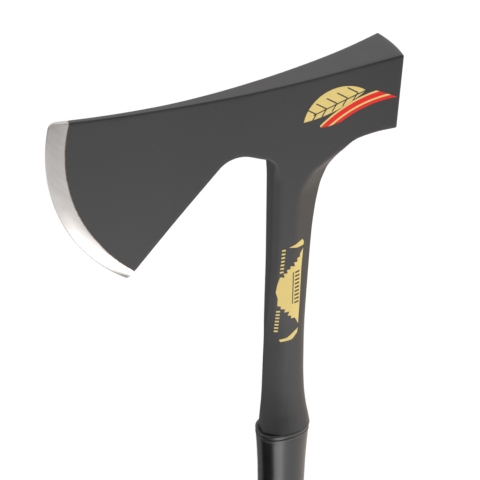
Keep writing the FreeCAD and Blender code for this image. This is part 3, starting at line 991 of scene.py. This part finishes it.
def new_material(name):
    material = bpy.data.materials.new(name)
    material.use_nodes = True
    graph = Graph(material.node_tree)
    place = graph.add("ShaderNodeTexCoord").outputs["Object"]
    return material, graph, place


def surface(graph, inputs):
    shader = graph.add("ShaderNodeBsdfPrincipled", inputs)
    graph.add("ShaderNodeOutputMaterial", {"Surface": shader.outputs[0]})


def grey(level):
    return (level, level, level, 1.0)


def steel_material():
    """Black baked coat with an orange-peel skin, and bright ground steel along the edge."""
    material, graph, place = new_material("coated_steel")
    peel = graph.noise(place, 0.55, 3.0, 0.55)
    cloud = graph.noise(place, 9.0, 3.0, 0.6)
    speck = graph.span(graph.noise(place, 0.35, 1.0), 0.70, 0.78, 0.0, 1.0)
    coat = graph.blend(cloud, (0.0088, 0.0083, 0.0086, 1), (0.0138, 0.0130, 0.0134, 1))
    coat = graph.blend(graph.math("MULTIPLY", speck, 0.35), coat, grey(0.11))
    coat_rough = graph.span(graph.math("ADD", cloud, peel), 0.6, 1.4, 0.36, 0.46)

    ground = graph.add("ShaderNodeAttribute", attribute_name="ground").outputs["Fac"]
    ragged = graph.math("SUBTRACT", graph.noise(place, 1.4, 4.0, 0.65), 0.5)
    line_at = graph.math("MULTIPLY_ADD", ragged, 0.9, ground)
    bare = graph.span(line_at, -0.05, 0.08, 0.0, 1.0, True)
    burnt = graph.math("SUBTRACT", 1.0, graph.span(graph.math("ABSOLUTE", line_at), 0.08, 0.34, 0.0, 1.0))

    streaks = graph.stretch(place, math.radians(38), (1.0, 1.0, 0.06))
    lines = graph.noise(streaks, 0.16, 3.0, 0.6)
    broad = graph.noise(streaks, 1.3, 3.0, 0.55)
    shine = graph.blend(graph.span(broad, 0.35, 0.65, 0.0, 1.0), STEEL_DARK, STEEL_MID)
    shine = graph.blend(graph.span(lines, 0.35, 0.7, 0.0, 0.3), shine, STEEL_BRIGHT)
    metal_rough = graph.span(graph.math("ADD", lines, broad), 0.7, 1.3, 0.17, 0.27)

    colour = graph.blend(bare, coat, shine)
    colour = graph.blend(graph.math("MULTIPLY", burnt, 0.8), colour, BURNT_STEEL)
    rough = graph.math("ADD", graph.math("MULTIPLY", bare, metal_rough),
                       graph.math("MULTIPLY", graph.math("SUBTRACT", 1.0, bare), coat_rough))
    steel = graph.math("MULTIPLY", bare, graph.math("SUBTRACT", 1.0, burnt))
    metallic = graph.math("MULTIPLY", steel, STEEL_METALLIC)
    skin = graph.bump(peel, graph.span(bare, 0.0, 1.0, 0.35, 0.02), 0.08)
    skin = graph.bump(lines, graph.math("MULTIPLY", bare, 0.3), 0.02, skin)
    surface(graph, {"Base Color": colour, "Metallic": metallic, "Roughness": rough,
                    "Normal": skin, "IOR": 1.5})
    return material


def vinyl_material():
    """Black moulded sleeve with a fine satin grain."""
    material, graph, place = new_material("grip_vinyl")
    grain = graph.noise(place, 0.30, 2.0, 0.5)
    cloud = graph.noise(place, 14.0, 3.0, 0.6)
    scratches = graph.noise(graph.stretch(place, 0.3, (1, 1, 0.2)), 1.1, 3.0, 0.7)
    scuff = graph.span(scratches, 0.62, 0.8, 0.0, 1.0)
    colour = graph.blend(cloud, grey(0.006), grey(0.010))
    colour = graph.blend(graph.math("MULTIPLY", scuff, 0.25), colour, grey(0.03))
    rough = graph.span(graph.math("ADD", cloud, scuff), 0.3, 1.6, 0.28, 0.44)
    surface(graph, {"Base Color": colour, "Roughness": rough, "Normal": graph.bump(grain, 0.25, 0.05),
                    "IOR": 1.52})
    return material


def print_material(name, dark, light):
    """Screen-printed film: flat colour with a slight mottle."""
    material, graph, place = new_material(name)
    mottle = graph.noise(place, 0.5, 3.0, 0.6)
    colour = graph.blend(graph.span(mottle, 0.3, 0.7, 0.0, 1.0), dark, light)
    rough = graph.span(mottle, 0.3, 0.7, 0.42, 0.55)
    surface(graph, {"Base Color": colour, "Roughness": rough, "Normal": graph.bump(mottle, 0.2, 0.02),
                    "IOR": 1.4})
    return material


def finish(piece, node, material):
    piece.data.materials.append(material)
    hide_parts(node)
    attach(piece, "root")


# ---- studio -------------------------------------------------------------
def direction(azimuth, elevation):
    a, e = math.radians(azimuth), math.radians(elevation)
    return (math.cos(a) * math.cos(e), math.sin(a) * math.cos(e), math.sin(e))


def add_floor():
    size = 30.0
    mesh = bpy.data.meshes.new("floor")
    corners = [(-size, -size, 0), (size, -size, 0), (size, size, 0), (-size, size, 0)]
    mesh.from_pydata(corners, [], [(0, 1, 2, 3)])
    floor = bpy.data.objects.new("floor", mesh)
    floor.location.z = -0.0005
    bpy.context.scene.collection.objects.link(floor)
    material = bpy.data.materials.new("floor")
    material.use_nodes = True
    graph = Graph(material.node_tree)
    shader = graph.add("ShaderNodeBsdfDiffuse", {"Color": grey(0.93)})
    graph.add("ShaderNodeOutputMaterial", {"Surface": shader.outputs[0]})
    mesh.materials.append(material)
    floor.visible_glossy = False


# Light that reaches the object's sides from below the horizon: azimuth in degrees, level.
ROOM_LEVELS = [(0, 1.3), (30, 1.1), (67, 0.85), (90, 0.55), (113, 0.32), (135, 0.45), (160, 0.9),
               (190, 1.6), (215, 2.0), (240, 1.9), (258, 1.5), (270, 1.3), (280, 1.4),
               (292, 2.4), (302, 2.4), (315, 1.75), (334, 1.5), (360, 1.3)]
ROOM_TOP_LEVEL = 5.0
ROOM_ABOVE = 1.12
CARD_RADIUS = 0.13


def add_world():
    """Plain bright room.  The camera sees it white; reflections see where its panels stand."""
    world = bpy.data.worlds.new("studio")
    bpy.context.scene.world = world
    world.use_nodes = True
    graph = Graph(world.node_tree)
    way = graph.add("ShaderNodeTexCoord").outputs["Generated"]
    x, y, height = graph.add("ShaderNodeSeparateXYZ", {0: way}).outputs[:3]

    def towards(azimuth, elevation):
        inputs = {0: way, 1: direction(azimuth, elevation)}
        return graph.add("ShaderNodeVectorMath", inputs, operation="DOT_PRODUCT").outputs["Value"]

    def glow(azimuth, elevation, inner, outer, level):
        near, far = math.cos(math.radians(inner)), math.cos(math.radians(outer))
        return graph.span(towards(azimuth, elevation), far, near, 0.0, level, True)

    def sine(degrees):
        return math.sin(math.radians(degrees))

    turn = graph.math("FRACT", graph.math("MULTIPLY_ADD", graph.math("ARCTAN2", y, x), 0.5 / math.pi, 1.0))
    room = graph.add("ShaderNodeFloatCurve", {"Value": turn})
    curve = room.mapping.curves[0]
    for azimuth, level in ROOM_LEVELS[1:-1]:
        curve.points.new(azimuth / 360, level / ROOM_TOP_LEVEL)
    curve.points[0].location = (0, ROOM_LEVELS[0][1] / ROOM_TOP_LEVEL)
    curve.points[-1].location = (1, ROOM_LEVELS[-1][1] / ROOM_TOP_LEVEL)
    room.mapping.update()
    level = graph.math("MULTIPLY", room.outputs[0], ROOM_TOP_LEVEL)
    level = graph.math("ADD", level, glow(271, -51.7, 6, 13.5, 5.0))
    above = graph.span(height, sine(-2), sine(12), 0.0, 1.0, True)
    level = graph.math("ADD", graph.math("MULTIPLY", level, graph.math("SUBTRACT", 1.0, above)),
                       graph.math("MULTIPLY", ROOM_ABOVE, above))
    level = graph.math("ADD", level, glow(67, 34, 15, 45, 0.2))
    front = graph.span(towards(240, 0), 0.42, 0.72, 0.0, 1.0, True)
    low = graph.span(height, sine(-30), sine(-16), 0.0, 1.0, True)
    high = graph.span(height, sine(15), sine(35), 1.0, 0.0, True)
    shade = graph.math("MULTIPLY", front, graph.math("MULTIPLY", low, high))
    level = graph.math("MULTIPLY", level, graph.math("MULTIPLY_ADD", shade, -0.93, 1.0))
    warm = glow(20, -30, 20, 70, 1.0)
    tint = graph.blend(warm, (1.02, 1.0, 1.0, 1), (1.10, 1.0, 0.90, 1))
    room_light = graph.add("ShaderNodeBackground", {"Color": tint, "Strength": level})
    seen = graph.add("ShaderNodeBackground", {"Color": grey(1.0), "Strength": 1.05})
    camera = graph.add("ShaderNodeLightPath").outputs["Is Camera Ray"]
    both = graph.add("ShaderNodeMixShader", {0: camera, 1: room_light.outputs[0], 2: seen.outputs[0]})
    graph.add("ShaderNodeOutputWorld", {"Surface": both.outputs[0]})


def add_card(name, first, last, low, high, level):
    """Curved panel beside the grip that only reflections see: dark where its level is 0."""
    columns = 16
    verts, faces = [], []
    for i in range(columns + 1):
        turn = math.radians(first + (last - first) * i / columns)
        for z in (low, high):
            verts.append((CARD_RADIUS * math.cos(turn), CARD_RADIUS * math.sin(turn), z))
    for i in range(columns):
        faces.append((2 * i, 2 * i + 1, 2 * i + 3, 2 * i + 2))
    mesh = bpy.data.meshes.new(name)
    mesh.from_pydata(verts, [], faces)
    card = bpy.data.objects.new(name, mesh)
    bpy.context.scene.collection.objects.link(card)
    material = bpy.data.materials.new(name)
    material.use_nodes = True
    graph = Graph(material.node_tree)
    light = graph.add("ShaderNodeEmission", {"Color": grey(1.0), "Strength": level})
    graph.add("ShaderNodeOutputMaterial", {"Surface": light.outputs[0]})
    mesh.materials.append(material)
    for sight in ("camera", "diffuse", "shadow", "transmission", "volume_scatter"):
        setattr(card, "visible_" + sight, False)


def add_cards():
    add_card("dark_card", 158, 246, 0.16, 0.345, 0.0)
    add_card("light_card", 258.5, 272, 0.10, 0.37, 3.4)
    add_card("side_card", 284, 335, 0.10, 0.35, 1.35)


def add_camera():
    data = bpy.data.cameras.new("view")
    data.lens = VIEW_LENS
    data.sensor_width = 36.0
    camera = bpy.data.objects.new("view", data)
    back = Vector((math.sin(VIEW_AZIMUTH) * math.cos(VIEW_ELEVATION),
                   -math.cos(VIEW_AZIMUTH) * math.cos(VIEW_ELEVATION), math.sin(VIEW_ELEVATION)))
    camera.location = VIEW_TARGET + back * VIEW_DISTANCE
    camera.rotation_euler = back.to_track_quat("Z", "Y").to_euler()
    bpy.context.scene.collection.objects.link(camera)
    bpy.context.scene.camera = camera


shape = Forging()
finish(build_forging(shape), "axe_forging", steel_material())
finish(build_grip(), "grip", vinyl_material())
gold = print_material("gold_film", (0.80, 0.62, 0.20, 1), (0.88, 0.70, 0.25, 1))
red = print_material("red_film", (0.82, 0.010, 0.006, 1), (0.90, 0.014, 0.008, 1))
gold_piece, red_piece, label_piece = build_films(shape)
finish(gold_piece, "emblem_gold", gold)
finish(red_piece, "emblem_red", red)
finish(label_piece, "shank_label", gold)
add_floor()
add_world()
add_cards()
add_camera()
bpy.context.scene.view_settings.view_transform = "Standard"
